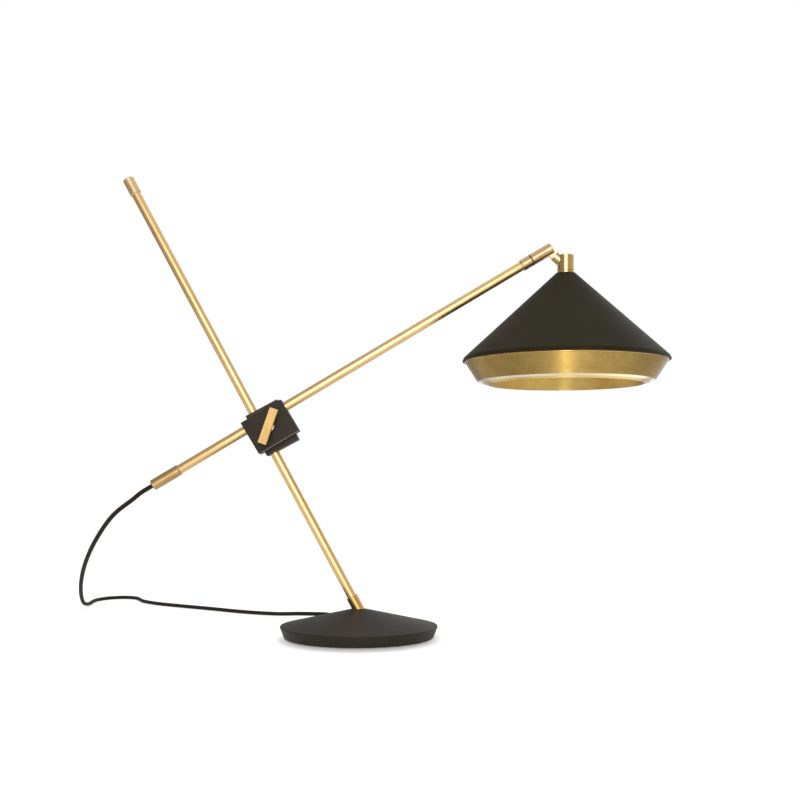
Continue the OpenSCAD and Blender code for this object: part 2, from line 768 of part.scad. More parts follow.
module plug_body() {
    w = plug_w / 2;
    t = plug_t / 2;
    c = t / 2;
    neck = w * 0.55;
    waist = w * 0.75;
    end = guard_l + plug_l;
    guard_r = cord_d / 2 + 1;
    groove = 0.6;
    color(rubber) on_plug() {
        intersection() {
            translate([0, 0, -t]) linear_extrude(plug_t) polygon([
                [guard_l, -neck], [guard_l + c, -waist], [guard_l + plug_l / 2, -w], [end - 1, -w],
                [end, 1 - w], [end, w - 1], [end - 1, w], [guard_l + plug_l / 2, w],
                [guard_l + c, waist], [guard_l, neck]]);
            rotate([90, 0, 90]) linear_extrude(end) polygon([
                [c - w, -t], [w - c, -t], [w, c - t], [w, t - c], [w - c, t], [c - w, t],
                [-w, t - c], [-w, c - t]]);
        }
        rotate([0, 90, 0]) rotate_extrude() polygon(concat([[0, 0], [guard_r, 0]],
            [for (k = [1:4]) let (x = guard_l * k / 5, r = guard_r + (t - guard_r) * k / 5)
                each [[r, x - groove], [r - groove, x - groove], [r - groove, x], [r, x]]],
            [[t, guard_l], [t, guard_l + cut], [0, guard_l + cut]]));
    }
}

module plug_blades() {
    color(brass) on_plug() for (side = [-1, 1])
        translate([guard_l + plug_l, side * blade_pitch / 2 - blade_t / 2, -blade_h / 2])
            cube([blade_l, blade_t, blade_h]);
}

base_weight();
felt_pad();
foot_bolt();
mast_socket();
mast_tube();
mast_cap();
mast_bush();
mast_block();
clamp_nut();
friction_washer();
arm_block();
arm_bush();
clamp_bolt();
lever_boss();
clamp_lever();
arm_tube();
tail_sleeve();
cord_grip();
inner_flex();
arm_collar();
swivel_clip();
swivel_fork();
knuckle_pin();
knuckle_tongue();
shade_collar();
collar_ring();
threaded_tube();
shade_nut();
shade_cone();
reflector();
flare_ring();
lampholder();
holder_contact();
bulb_cap();
bulb_glass();
cord_run();
cord_coil();
cord_lead();
cord_tie();
plug_body();
plug_blades();
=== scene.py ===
import json
from math import cos, pi, radians, sin, tau

import bpy
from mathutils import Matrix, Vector


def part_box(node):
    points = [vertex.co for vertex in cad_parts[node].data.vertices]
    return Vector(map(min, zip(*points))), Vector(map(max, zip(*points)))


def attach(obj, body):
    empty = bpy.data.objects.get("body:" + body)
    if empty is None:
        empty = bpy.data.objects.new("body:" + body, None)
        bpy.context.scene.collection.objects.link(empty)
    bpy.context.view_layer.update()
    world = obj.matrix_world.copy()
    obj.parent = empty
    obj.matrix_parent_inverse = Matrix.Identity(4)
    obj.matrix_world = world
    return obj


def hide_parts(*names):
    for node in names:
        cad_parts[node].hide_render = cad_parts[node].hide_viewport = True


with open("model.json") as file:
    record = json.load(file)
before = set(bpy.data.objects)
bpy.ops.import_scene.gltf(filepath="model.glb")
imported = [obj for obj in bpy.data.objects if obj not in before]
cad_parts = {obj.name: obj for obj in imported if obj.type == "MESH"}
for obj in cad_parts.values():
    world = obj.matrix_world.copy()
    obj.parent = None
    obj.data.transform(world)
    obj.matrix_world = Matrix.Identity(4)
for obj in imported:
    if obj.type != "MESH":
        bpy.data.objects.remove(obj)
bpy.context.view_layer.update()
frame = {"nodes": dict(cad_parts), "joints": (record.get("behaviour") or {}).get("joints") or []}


# ---- Base -----------------------------------------------------------------------------------
# The base is one iron casting, an undercut disc with a shallow cone on top. It is sprayed with
# a fine-textured satin black, and a felt pad is glued into a recess under it.

def add(tree, kind, wires=None, **settings):
    """Adds a shader node. wires gives each input a number, a colour or another node's output."""
    made = tree.nodes.new(kind)
    for name, value in settings.items():
        setattr(made, name, value)
    for plug, value in (wires or {}).items():
        if isinstance(value, bpy.types.NodeSocket):
            tree.links.new(value, made.inputs[plug])
        else:
            made.inputs[plug].default_value = value
    return made


def start_finish(name):
    """A new material with its tree, its one shader and its place on the piece, in metres."""
    material = bpy.data.materials.new(name)
    material.use_nodes = True
    tree = material.node_tree
    tree.nodes.clear()
    shader = add(tree, "ShaderNodeBsdfPrincipled")
    add(tree, "ShaderNodeOutputMaterial", {"Surface": shader.outputs[0]})
    place = add(tree, "ShaderNodeTexCoord").outputs["Object"]
    return material, tree, shader, place


def clouds(tree, place, per_metre, detail=3.0):
    """Soft random mottling, from 0 to 1, that repeats about this many times in a metre."""
    wires = {"Vector": place, "Scale": per_metre, "Detail": detail}
    return add(tree, "ShaderNodeTexNoise", wires).outputs["Fac"]


def between(tree, amount, low, high):
    """Spreads an amount that mostly lies from 0.3 to 0.7 over the range from low to high."""
    wires = {"Value": amount, "From Min": 0.3, "From Max": 0.7, "To Min": low, "To Max": high}
    return add(tree, "ShaderNodeMapRange", wires).outputs["Result"]


def blend_colours(tree, share, first, second):
    """Blends from the first colour to the second as a share goes from 0 to 1."""
    blend = tree.nodes.new("ShaderNodeMix")
    blend.data_type = "RGBA"
    for number, value in ((0, share), (6, first), (7, second)):
        if isinstance(value, bpy.types.NodeSocket):
            tree.links.new(value, blend.inputs[number])
        else:
            blend.inputs[number].default_value = value
    return blend.outputs[2]


def tint(tree, amount, low, high):
    """Blends from one colour to another as an amount goes from 0.3 to 0.7."""
    return blend_colours(tree, between(tree, amount, 0.0, 1.0), (*low, 1.0), (*high, 1.0))


def raise_grain(tree, shader, height, depth):
    """Lifts the surface by a height from 0 to 1, times a real depth in metres."""
    bump = add(tree, "ShaderNodeBump", {"Height": height, "Distance": depth})
    tree.links.new(bump.outputs["Normal"], shader.inputs["Normal"])


MOTTLES_PER_METRE = 34.0
SMOOTHER_BY = 0.04
ROUGHER_BY = 0.05
WARM_SHINE = (1.0, 0.86, 0.66, 1.0)


def sprayed_black(name, dark, light, roughness, grain_per_metre, grain_depth, shine=0.22):
    """Black coating: an even colour with faint mottling and a fine pebbled grain."""
    material, tree, shader, place = start_finish(name)
    mottle = clouds(tree, place, MOTTLES_PER_METRE)
    grain = clouds(tree, place, grain_per_metre, detail=4.0)
    tree.links.new(tint(tree, mottle, dark, light), shader.inputs["Base Color"])
    rough = between(tree, grain, roughness - SMOOTHER_BY, roughness + ROUGHER_BY)
    tree.links.new(rough, shader.inputs["Roughness"])
    shader.inputs["Specular IOR Level"].default_value = shine
    shader.inputs["Specular Tint"].default_value = WARM_SHINE
    raise_grain(tree, shader, grain, grain_depth)
    return material


def dress(material, *names):
    """Puts a finish on CAD nodes."""
    for name in names:
        for slot in frame["nodes"][name].material_slots:
            slot.material = material


CASTING_DARK = (0.020, 0.0165, 0.0130)
CASTING_LIGHT = (0.027, 0.0225, 0.0175)
casting_black = sprayed_black("casting_black", CASTING_DARK, CASTING_LIGHT, roughness=0.50,
                              grain_per_metre=2600.0, grain_depth=0.00006)
dress(casting_black, "base_weight")

FELT_DARK = (0.012, 0.012, 0.012)
FELT_LIGHT = (0.050, 0.049, 0.047)
felt, tree, shader, place = start_finish("pressed_felt")
fibres = clouds(tree, place, per_metre=1500.0, detail=8.0)
tree.links.new(tint(tree, fibres, FELT_DARK, FELT_LIGHT), shader.inputs["Base Color"])
shader.inputs["Roughness"].default_value = 0.95
shader.inputs["Sheen Weight"].default_value = 0.35
shader.inputs["Sheen Roughness"].default_value = 0.6
raise_grain(tree, shader, fibres, depth=0.0004)
dress(felt, "felt_pad")


# ---- Mast -----------------------------------------------------------------------------------
# The mast is a drawn brass tube, brushed along its length and lacquered. A turned socket holds
# its foot, a turned cap closes its top, and a cap screw in the casting pulls the socket down.

joints = {joint["name"]: joint for joint in frame["joints"]}
MAST_LINE = Vector(joints["mast_slide"]["axis"])
MAST_POINT = Vector(joints["mast_slide"]["pos_m"])
LINES_PER_METRE = 9000.0
BREAKS_PER_METRE = 110.0
RING_DRIFT = 26.0
LINE_CLOUDS = 0.35
LINE_DEPTH = 0.0000015


def line_parts(tree, place, along, through):
    """A point's distance along an axis line, and its arm out from that line."""
    inner = {0: place, 1: tuple(through)}
    offset = add(tree, "ShaderNodeVectorMath", inner, operation="SUBTRACT").outputs[0]
    wires = {0: offset, 1: tuple(along)}
    run = add(tree, "ShaderNodeVectorMath", wires, operation="DOT_PRODUCT").outputs["Value"]
    scaled = add(tree, "ShaderNodeVectorMath", {0: tuple(along), "Scale": run}, operation="SCALE")
    wires = {0: offset, 1: scaled.outputs[0]}
    arm = add(tree, "ShaderNodeVectorMath", wires, operation="SUBTRACT").outputs[0]
    return run, scaled.outputs[0], arm


def turned_lines(tree, place, along, through):
    """Fine rings left by the lathe and the buff, round an axis line."""
    run, _, arm = line_parts(tree, place, along, through)
    radius = add(tree, "ShaderNodeVectorMath", {0: arm}, operation="LENGTH").outputs["Value"]
    rings = add(tree, "ShaderNodeCombineXYZ", {"X": run, "Y": radius}).outputs[0]
    wires = {0: rings, "Scale": LINES_PER_METRE}
    rings = add(tree, "ShaderNodeVectorMath", wires, operation="SCALE").outputs[0]
    wires = {0: place, "Scale": RING_DRIFT}
    drift = add(tree, "ShaderNodeVectorMath", wires, operation="SCALE").outputs[0]
    wires = {0: rings, 1: drift}
    total = add(tree, "ShaderNodeVectorMath", wires, operation="ADD").outputs[0]
    return clouds(tree, total, LINE_CLOUDS, detail=4.0)


def drawn_lines(tree, place, along, through):
    """Fine scratches that run the length of a brushed tube."""
    _, run, arm = line_parts(tree, place, along, through)
    wires = {0: arm, "Scale": LINES_PER_METRE}
    across = add(tree, "ShaderNodeVectorMath", wires, operation="SCALE").outputs[0]
    wires = {0: run, "Scale": BREAKS_PER_METRE}
    length = add(tree, "ShaderNodeVectorMath", wires, operation="SCALE").outputs[0]
    wires = {0: across, 1: length}
    total = add(tree, "ShaderNodeVectorMath", wires, operation="ADD").outputs[0]
    return clouds(tree, total, LINE_CLOUDS, detail=4.0)


PATCHES_PER_METRE = 90.0
LINE_ROUGHNESS = 0.05
LACQUER_ROUGHNESS = 0.25


def brushed_metal(name, dull, clean, along, through, turned, roughness, stretch, depth=LINE_DEPTH,
                  lacquer=0.6):
    """Brushed metal: rings round an axis or scratches along it, with faint darker patches."""
    material, tree, shader, place = start_finish(name)
    lines = (turned_lines if turned else drawn_lines)(tree, place, along, through)
    patches = clouds(tree, place, PATCHES_PER_METRE, detail=5.0)
    wires = {0: lines, 1: patches}
    shade = add(tree, "ShaderNodeMath", wires, operation="ADD").outputs[0]
    shade = add(tree, "ShaderNodeMath", {0: shade, 1: 0.5}, operation="MULTIPLY").outputs[0]
    tree.links.new(tint(tree, shade, dull, clean), shader.inputs["Base Color"])
    rough = between(tree, lines, roughness + LINE_ROUGHNESS, roughness - LINE_ROUGHNESS)
    tree.links.new(rough, shader.inputs["Roughness"])
    shader.inputs["Metallic"].default_value = 1.0
    shader.inputs["Anisotropic"].default_value = stretch
    shader.inputs["Coat Weight"].default_value = lacquer
    shader.inputs["Coat Roughness"].default_value = LACQUER_ROUGHNESS
    line = tuple(along)
    if turned:
        _, _, arm = line_parts(tree, place, along, through)
        wires = {0: line, 1: arm}
        line = add(tree, "ShaderNodeVectorMath", wires, operation="CROSS_PRODUCT").outputs[0]
    line = add(tree, "ShaderNodeVectorTransform", {"Vector": line}, vector_type="VECTOR",
               convert_from="OBJECT", convert_to="WORLD").outputs[0]
    normal = add(tree, "ShaderNodeNewGeometry").outputs["Normal"]
    wires = {0: normal, 1: line}
    over_lines = add(tree, "ShaderNodeVectorMath", wires, operation="CROSS_PRODUCT").outputs[0]
    tree.links.new(over_lines, shader.inputs["Tangent"])
    raise_grain(tree, shader, lines, depth)
    return material


ROD_DULL = (0.74, 0.455, 0.160)
ROD_CLEAN = (0.86, 0.570, 0.260)
CAP_DULL = (0.66, 0.430, 0.190)
CAP_CLEAN = (0.82, 0.590, 0.320)
SOCKET_DULL = (0.60, 0.330, 0.085)
SOCKET_CLEAN = (0.76, 0.460, 0.150)
POLISH_DEPTH = 0.0000004
mast_brass = brushed_metal("mast_brass", ROD_DULL, ROD_CLEAN, MAST_LINE, MAST_POINT, turned=False,
                           roughness=0.35, stretch=0.4)
cap_brass = brushed_metal("cap_brass", CAP_DULL, CAP_CLEAN, MAST_LINE, MAST_POINT, turned=True,
                          roughness=0.46, stretch=0.2)
socket_brass = brushed_metal("socket_brass", SOCKET_DULL, SOCKET_CLEAN, MAST_LINE, MAST_POINT,
                             turned=True, roughness=0.20, stretch=0.3, depth=POLISH_DEPTH)
dress(mast_brass, "mast_tube")
dress(cap_brass, "mast_cap")
dress(socket_brass, "mast_socket")

STEEL_DULL = (0.42, 0.42, 0.43)
STEEL_CLEAN = (0.60, 0.60, 0.61)
screw_steel = brushed_metal("screw_steel", STEEL_DULL, STEEL_CLEAN, MAST_LINE, MAST_POINT,
                            turned=True, roughness=0.35, stretch=0.3)
dress(screw_steel, "foot_bolt")


# ---- Clamp ----------------------------------------------------------------------------------
# Two aluminium blocks, each bored for its rod and split by a saw cut, stand face to face with a
# friction washer between them. They are anodised black. Split nylon liners save the brass.

BOLT_LINE = Vector(joints["lever_turn"]["axis"])
BOLT_POINT = Vector(joints["lever_turn"]["pos_m"])
BLOCK_DARK = (0.017, 0.0142, 0.0116)
BLOCK_LIGHT = (0.023, 0.0195, 0.0160)
# The rear block is painted a lighter, browner black than the front block: painted light on the
# part that the front block shades.
REAR_PAINTED_LIT_DARK = (0.046, 0.0330, 0.0290)
REAR_PAINTED_LIT_LIGHT = (0.060, 0.0440, 0.0390)
rear_black_painted_lit = sprayed_black("rear_block_painted_lit", REAR_PAINTED_LIT_DARK, REAR_PAINTED_LIT_LIGHT, roughness=0.44,
                           grain_per_metre=5200.0, grain_depth=0.00002, shine=0.18)
dress(rear_black_painted_lit, "mast_block")
front_black = sprayed_black("front_block_black", BLOCK_DARK, BLOCK_LIGHT, roughness=0.44,
                            grain_per_metre=5200.0, grain_depth=0.00002, shine=0.18)
dress(front_black, "arm_block")


def reopen(material):
    """A finish's tree, its shader and its place on the piece again, to add a painted edge
    highlight or a lip to it.
    """
    tree = material.node_tree
    place = add(tree, "ShaderNodeTexCoord").outputs["Object"]
    return tree, tree.nodes["Principled BSDF"], place


# The front block's lower front edge is painted paler: a painted highlight where the edge catches
# the light.
EDGE_GLINT_FULL = 0.0006
EDGE_GLINT_FADE = 1.5 * EDGE_GLINT_FULL
PAINTED_EDGE_GLINT = (0.20, 0.165, 0.140, 1.0)
ARM_LINE = Vector(joints["head_swivel"]["axis"])
edge_way = Vector((ARM_LINE.z, 0.0, -ARM_LINE.x))
block_points = [point.co for point in frame["nodes"]["arm_block"].data.vertices]
edge_reach = max(edge_way.dot(point) for point in block_points)
block_front = min(point.y for point in block_points)
tree, shader, place = reopen(front_black)
wires = {0: place, 1: tuple(edge_way)}
reach = add(tree, "ShaderNodeVectorMath", wires, operation="DOT_PRODUCT").outputs["Value"]
wires = {"Value": reach, "From Min": edge_reach - EDGE_GLINT_FADE, "From Max": edge_reach - EDGE_GLINT_FULL}
near_edge = add(tree, "ShaderNodeMapRange", wires).outputs["Result"]
back = add(tree, "ShaderNodeSeparateXYZ", {0: place}).outputs["Y"]
wires = {"Value": back, "From Min": block_front + EDGE_GLINT_FADE, "From Max": block_front + EDGE_GLINT_FULL}
near_front = add(tree, "ShaderNodeMapRange", wires).outputs["Result"]
painted_glint = add(tree, "ShaderNodeMath", {0: near_edge, 1: near_front}, operation="MULTIPLY").outputs[0]
coated = shader.inputs["Base Color"].links[0].from_socket
tree.links.new(blend_colours(tree, painted_glint, coated, PAINTED_EDGE_GLINT), shader.inputs["Base Color"])

NYLON_DARK = (0.60, 0.58, 0.52)
NYLON_LIGHT = (0.68, 0.66, 0.60)
nylon, tree, shader, place = start_finish("liner_nylon")
shades = clouds(tree, place, per_metre=60.0)
tree.links.new(tint(tree, shades, NYLON_DARK, NYLON_LIGHT), shader.inputs["Base Color"])
shader.inputs["Roughness"].default_value = 0.45
shader.inputs["Subsurface Weight"].default_value = 0.1
raise_grain(tree, shader, clouds(tree, place, per_metre=1800.0), depth=0.00002)
dress(nylon, "mast_bush", "arm_bush")

WASHER_DARK = (0.045, 0.038, 0.030)
WASHER_LIGHT = (0.085, 0.072, 0.055)
washer, tree, shader, place = start_finish("friction_washer_fibre")
specks = clouds(tree, place, per_metre=2200.0, detail=6.0)
tree.links.new(tint(tree, specks, WASHER_DARK, WASHER_LIGHT), shader.inputs["Base Color"])
shader.inputs["Roughness"].default_value = 0.8
raise_grain(tree, shader, specks, depth=0.00008)
dress(washer, "friction_washer")

zinc_steel = brushed_metal("zinc_steel", STEEL_DULL, STEEL_CLEAN, BOLT_LINE, BOLT_POINT,
                           turned=True, roughness=0.32, stretch=0.2)
dress(zinc_steel, "clamp_bolt", "clamp_nut")


# ---- Lever ----------------------------------------------------------------------------------
# One square brass bar with broken edges, brushed along its length, screws the clamp tight. It
# stands on a round turned boss of a little paler brass.

LEVER_DULL = (0.355, 0.204, 0.051)
LEVER_CLEAN = (0.475, 0.290, 0.090)
lever_low, lever_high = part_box("clamp_lever")
LEVER_LEAN = radians(19.4)
LEVER_LINE = Vector((sin(LEVER_LEAN), 0.0, cos(LEVER_LEAN)))
LEVER_MIDDLE = (lever_low + lever_high) / 2
LEVER_DEPTH = 0.0000006
BOSS_DULL = (0.38, 0.230, 0.085)
BOSS_CLEAN = (0.52, 0.340, 0.140)
lever_brass = brushed_metal("lever_brass", LEVER_DULL, LEVER_CLEAN, LEVER_LINE, LEVER_MIDDLE,
                            turned=False, roughness=0.48, stretch=0.25, depth=LEVER_DEPTH)
boss_brass = brushed_metal("boss_brass", BOSS_DULL, BOSS_CLEAN, BOLT_LINE, BOLT_POINT, turned=True,
                           roughness=0.40, stretch=0.3)
dress(lever_brass, "clamp_lever")
dress(boss_brass, "lever_boss")


# ---- Arm ------------------------------------------------------------------------------------
# The arm is a second brass tube like the mast. A turned sleeve closes its lower end round a
# rubber cord grip, and a turned collar at its upper end carries the swivelling fork.

ARM_POINT = Vector(joints["head_swivel"]["pos_m"])
PALE_DULL = (0.56, 0.360, 0.155)
PALE_CLEAN = (0.74, 0.520, 0.275)
TAIL_DULL = (0.45, 0.280, 0.100)
TAIL_CLEAN = (0.60, 0.400, 0.165)
arm_brass = brushed_metal("arm_brass", ROD_DULL, ROD_CLEAN, ARM_LINE, ARM_POINT, turned=False,
                          roughness=0.35, stretch=0.4)
arm_turned = brushed_metal("arm_turned_brass", PALE_DULL, PALE_CLEAN, ARM_LINE, ARM_POINT,
                           turned=True, roughness=0.42, stretch=0.3)
tail_brass = brushed_metal("tail_brass", TAIL_DULL, TAIL_CLEAN, ARM_LINE, ARM_POINT, turned=True,
                           roughness=0.42, stretch=0.3)
dress(arm_brass, "arm_tube")
dress(arm_turned, "arm_collar", "swivel_fork")
dress(tail_brass, "tail_sleeve")

RUBBER_DARK = (0.014, 0.013, 0.012)
RUBBER_LIGHT = (0.022, 0.021, 0.019)
grip_rubber = sprayed_black("grip_rubber", RUBBER_DARK, RUBBER_LIGHT, roughness=0.55,
                            grain_per_metre=3200.0, grain_depth=0.00002)
dress(grip_rubber, "cord_grip", "inner_flex")

SPRING_DULL = (0.30, 0.30, 0.31)
SPRING_CLEAN = (0.44, 0.44, 0.45)
spring_steel = brushed_metal("spring_steel", SPRING_DULL, SPRING_CLEAN, ARM_LINE, ARM_POINT,
                             turned=True, roughness=0.3, stretch=0.2)
dress(spring_steel, "swivel_clip")

RING_STEPS = 180


def turned_ring(name, middle, axis, profile, body):
    """A ring with a closed profile of radius and height pairs, turned about an axis."""
    aside = axis.orthogonal().normalized()
    above = axis.normalized().cross(aside)
    sides = len(profile)
    corners = []
    for i in range(RING_STEPS):
        turn = tau * i / RING_STEPS
        out = cos(turn) * aside + sin(turn) * above
        corners += [middle + radius * out + height * axis for radius, height in profile]
    faces = []
    for i in range(RING_STEPS):
        here = i * sides
        on = (i + 1) % RING_STEPS * sides
        for k in range(sides):
            after = (k + 1) % sides
            faces.append((here + k, on + k, on + after, here + after))
    mesh = bpy.data.meshes.new(name)
    mesh.from_pydata(corners, [], faces)
    made = bpy.data.objects.new(name, mesh)
    bpy.context.scene.collection.objects.link(made)
    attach(made, body)
    return made


# A dark fibre washer is put in the gap between the collar and the fork as painted shade, so that
# the gap shows dark.
WASHER_INNER = 0.0050
WASHER_OUTER = 0.0067
WASHER_HALF = 0.00056
gap_shade_washer_profile = [(WASHER_INNER, -WASHER_HALF), (WASHER_OUTER, -WASHER_HALF),
                  (WASHER_OUTER, WASHER_HALF), (WASHER_INNER, WASHER_HALF)]
swivel_gap_shade_washer = turned_ring("swivel_gap_shade_washer", ARM_POINT, ARM_LINE, gap_shade_washer_profile, "swivel")
swivel_gap_shade_washer.data.materials.append(washer)


# ---- Knuckle --------------------------------------------------------------------------------
# A flat brass tongue turns on a pin in the fork's slot, with enough friction to hold the shade.
# Its round stub is screwed into the collar on top of the shade.

PIN_LINE = Vector(joints["shade_tilt"]["axis"])
PIN_POINT = Vector(joints["shade_tilt"]["pos_m"])
pin_brass = brushed_metal("pin_brass", PALE_DULL, PALE_CLEAN, PIN_LINE, PIN_POINT, turned=True,
                          roughness=0.25, stretch=0.3)
STUB_DROP = radians(40.0)
STUB_LINE = Vector((cos(STUB_DROP), 0.0, -sin(STUB_DROP)))
tongue_brass = brushed_metal("tongue_brass", PALE_DULL, PALE_CLEAN, STUB_LINE, PIN_POINT,
                             turned=True, roughness=0.26, stretch=0.3)
dress(pin_brass, "knuckle_pin")
dress(tongue_brass, "knuckle_tongue")


# ---- Shade ----------------------------------------------------------------------------------
# The cone is spun from sheet metal and sprayed satin black outside, with a brass lining. The
# flare below it is a spun brass ring, brushed round and round, and its lip turns in.

tube_low, tube_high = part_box("threaded_tube")
SHADE_LINE = Vector((0.0, 0.0, 1.0))
SHADE_POINT = (tube_low + tube_high) / 2
NECK_DULL = (0.56, 0.340, 0.110)
NECK_CLEAN = (0.74, 0.485, 0.190)
neck_brass = brushed_metal("polished_neck_brass", NECK_DULL, NECK_CLEAN, SHADE_LINE, SHADE_POINT,
                           turned=True, roughness=0.16, stretch=0.3, depth=POLISH_DEPTH)
dress(neck_brass, "shade_collar", "collar_ring")

SHADE_DARK = (0.0130, 0.0108, 0.0032)
SHADE_LIGHT = (0.0180, 0.0148, 0.0052)
shade_black = sprayed_black("shade_black", SHADE_DARK, SHADE_LIGHT, roughness=0.50,
                            grain_per_metre=3600.0, grain_depth=0.00003, shine=0.14)
dress(shade_black, "shade_cone")

FLARE_DULL = (0.50, 0.315, 0.070)
FLARE_CLEAN = (0.66, 0.460, 0.146)
flare_brass = brushed_metal("flare_brass", FLARE_DULL, FLARE_CLEAN, SHADE_LINE, SHADE_POINT,
                            turned=True, roughness=0.48, stretch=1.0, depth=0.00005, lacquer=0.2)
flare_low, flare_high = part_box("flare_ring")

# The lip's outer half is polished and painted near-white, a painted reflection of the white table,
# and its inner half is a warmer, duller brass.
LIP_PAINTED_GLEAM = (0.98, 0.84, 0.58, 1.0)
LIP_ROUGHNESS = 0.20
LIP_DEPTH = 0.0039
LIP_INSIDE = (0.90, 0.640, 0.250, 1.0)
LIP_INSIDE_ROUGHNESS = 0.42
LIP_EDGE = 0.0021
LIP_BLEND = 0.9
tree, shader, place = reopen(flare_brass)
up = add(tree, "ShaderNodeSeparateXYZ", {0: place}).outputs["Z"]
wires = {"Value": up, "From Min": flare_low.z + LIP_DEPTH,
         "From Max": flare_low.z + LIP_BLEND * LIP_DEPTH}
on_lip = add(tree, "ShaderNodeMapRange", wires).outputs["Result"]
wires = {"Value": up, "From Min": flare_low.z + LIP_BLEND * LIP_EDGE,
         "From Max": flare_low.z + LIP_EDGE}
on_edge = add(tree, "ShaderNodeMapRange", wires).outputs["Result"]
brushed = shader.inputs["Base Color"].links[0].from_socket
lip_colour = blend_colours(tree, on_edge, LIP_INSIDE, LIP_PAINTED_GLEAM)
tree.links.new(blend_colours(tree, on_lip, brushed, lip_colour), shader.inputs["Base Color"])
brushed = shader.inputs["Roughness"].links[0].from_socket
wires = {"Value": on_edge, "To Min": LIP_INSIDE_ROUGHNESS, "To Max": LIP_ROUGHNESS}
lip_roughness = add(tree, "ShaderNodeMapRange", wires).outputs["Result"]
wires = {"Value": on_lip, "To Min": brushed, "To Max": lip_roughness}
blend = add(tree, "ShaderNodeMapRange", wires).outputs["Result"]
tree.links.new(blend, shader.inputs["Roughness"])
dress(flare_brass, "flare_ring")


BEAD_SIDES = 12


def round_bead(radius, thick):
    """The profile of a round bead at a radius, as radius and height pairs."""
    turns = [tau * k / BEAD_SIDES for k in range(BEAD_SIDES)]
    return [(radius + thick / 2 * cos(turn), thick / 2 * sin(turn)) for turn in turns]


cone_low, cone_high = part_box("shade_cone")
HEM_ROLL = 0.0019
HEM_DROP = 0.0005
HEM_INSET = 0.0008
hem_radius = (cone_high.x - cone_low.x) / 2 - HEM_INSET
hem_middle = Vector((SHADE_POINT.x, SHADE_POINT.y, cone_low.z - HEM_DROP))
hem_profile = round_bead(hem_radius, HEM_ROLL)
hem_roll = turned_ring("hem_roll", hem_middle, SHADE_LINE, hem_profile, "shade")
hem_roll.data.polygons.foreach_set("use_smooth", [True] * len(hem_roll.data.polygons))
hem_roll.data.materials.append(shade_black)

FLARE_BEAD = 0.0011
BEAD_DROP = 0.0020
BEAD_INSET = 0.0011
bead_radius = (flare_high.x - flare_low.x) / 2 - BEAD_INSET
bead_middle = Vector((SHADE_POINT.x, SHADE_POINT.y, cone_low.z - BEAD_DROP))
bead_profile = round_bead(bead_radius, FLARE_BEAD)
flare_bead = turned_ring("flare_bead", bead_middle, SHADE_LINE, bead_profile, "shade")
flare_bead.data.polygons.foreach_set("use_smooth", [True] * len(flare_bead.data.polygons))
flare_bead.data.materials.append(neck_brass)

LINING_DULL = (0.80, 0.540, 0.140)
LINING_CLEAN = (0.94, 0.680, 0.215)
lining_brass = brushed_metal("lining_brass", LINING_DULL, LINING_CLEAN, SHADE_LINE, SHADE_POINT,
                             turned=True, roughness=0.45, stretch=1.0, depth=0.00002, lacquer=0.2)
dress(lining_brass, "reflector")


# ---- Lamp -----------------------------------------------------------------------------------
# A threaded tube and a nut hold a moulded lampholder under the shade's top. A frosted bulb with
# a nickel-plated screw cap is screwed into it.

nut_steel = brushed_metal("nut_steel", STEEL_DULL, STEEL_CLEAN, SHADE_LINE, SHADE_POINT,
                          turned=True, roughness=0.32, stretch=0.2)
dress(nut_steel, "threaded_tube", "shade_nut", "bulb_cap")
contact_brass = brushed_metal("contact_brass", PALE_DULL, PALE_CLEAN, SHADE_LINE, SHADE_POINT,
                              turned=True, roughness=0.3, stretch=0.2)
dress(contact_brass, "holder_contact")

HOLDER_DARK = (0.016, 0.015, 0.014)
HOLDER_LIGHT = (0.024, 0.023, 0.021)
holder_black = sprayed_black("moulded_holder", HOLDER_DARK, HOLDER_LIGHT, roughness=0.38,
                             grain_per_metre=900.0, grain_depth=0.00002)
dress(holder_black, "lampholder")

GLASS_DARK = (0.80, 0.80, 0.78)
GLASS_LIGHT = (0.88, 0.88, 0.86)
frosted, tree, shader, place = start_finish("frosted_glass")
frost = clouds(tree, place, per_metre=1400.0, detail=5.0)
tree.links.new(tint(tree, frost, GLASS_DARK, GLASS_LIGHT), shader.inputs["Base Color"])
tree.links.new(between(tree, frost, 0.30, 0.42), shader.inputs["Roughness"])
shader.inputs["Subsurface Weight"].default_value = 0.35
shader.inputs["Subsurface Radius"].default_value = (0.01, 0.01, 0.01)
shader.inputs["Coat Weight"].default_value = 0.3
raise_grain(tree, shader, frost, depth=0.00001)
dress(frosted, "bulb_glass")


# ---- Cord -----------------------------------------------------------------------------------
# The mains cord has a dark braided cover. It hangs from the sleeve, turns back on the table,
# and its spare length is wound in a flat coil behind the base, with the plug beside it.

# The route is in millimetres, and MM brings it to metres.
MM = 0.001
CORD_D = 5.2
TABLE_ROOM = 0.6
CORD_Z = CORD_D / 2 + TABLE_ROOM
STRAIGHT = 14.0
TUBE_MOUTH = Vector((-240.24, -22.0, 180.73))
ARM_WAY = ARM_LINE.normalized()


def mid_curve(a, b, c, d, t):
    """The point at share t between b and c on a smooth curve through a, b, c and d."""
    return 0.5 * (2 * b + (c - a) * t + (2 * a - 5 * b + 4 * c - d) * t * t
                  + (3 * b - a - 3 * c + d) * t ** 3)


def curve(points, steps):
    """A smooth curve through points, with a straight first and last stretch."""
    p = [Vector(point) for point in points]
    line = [p[0]]
    for i in range(1, len(p) - 2):
        line += [mid_curve(p[i - 1], p[i], p[i + 1], p[i + 2], k / steps) for k in range(steps)]
    return line + [p[-2], p[-1]]


COIL_X = -14.0
COIL_Y = 142.0
COIL_START = 231.0
COIL_TURNS = 4.125
COIL_R = 20.8
COIL_GAP = 0.5
LAYER_GAP = 0.25
COIL_PITCH = CORD_D + COIL_GAP
COIL_CLIMB = CORD_D + LAYER_GAP
COIL_RINGS = 72


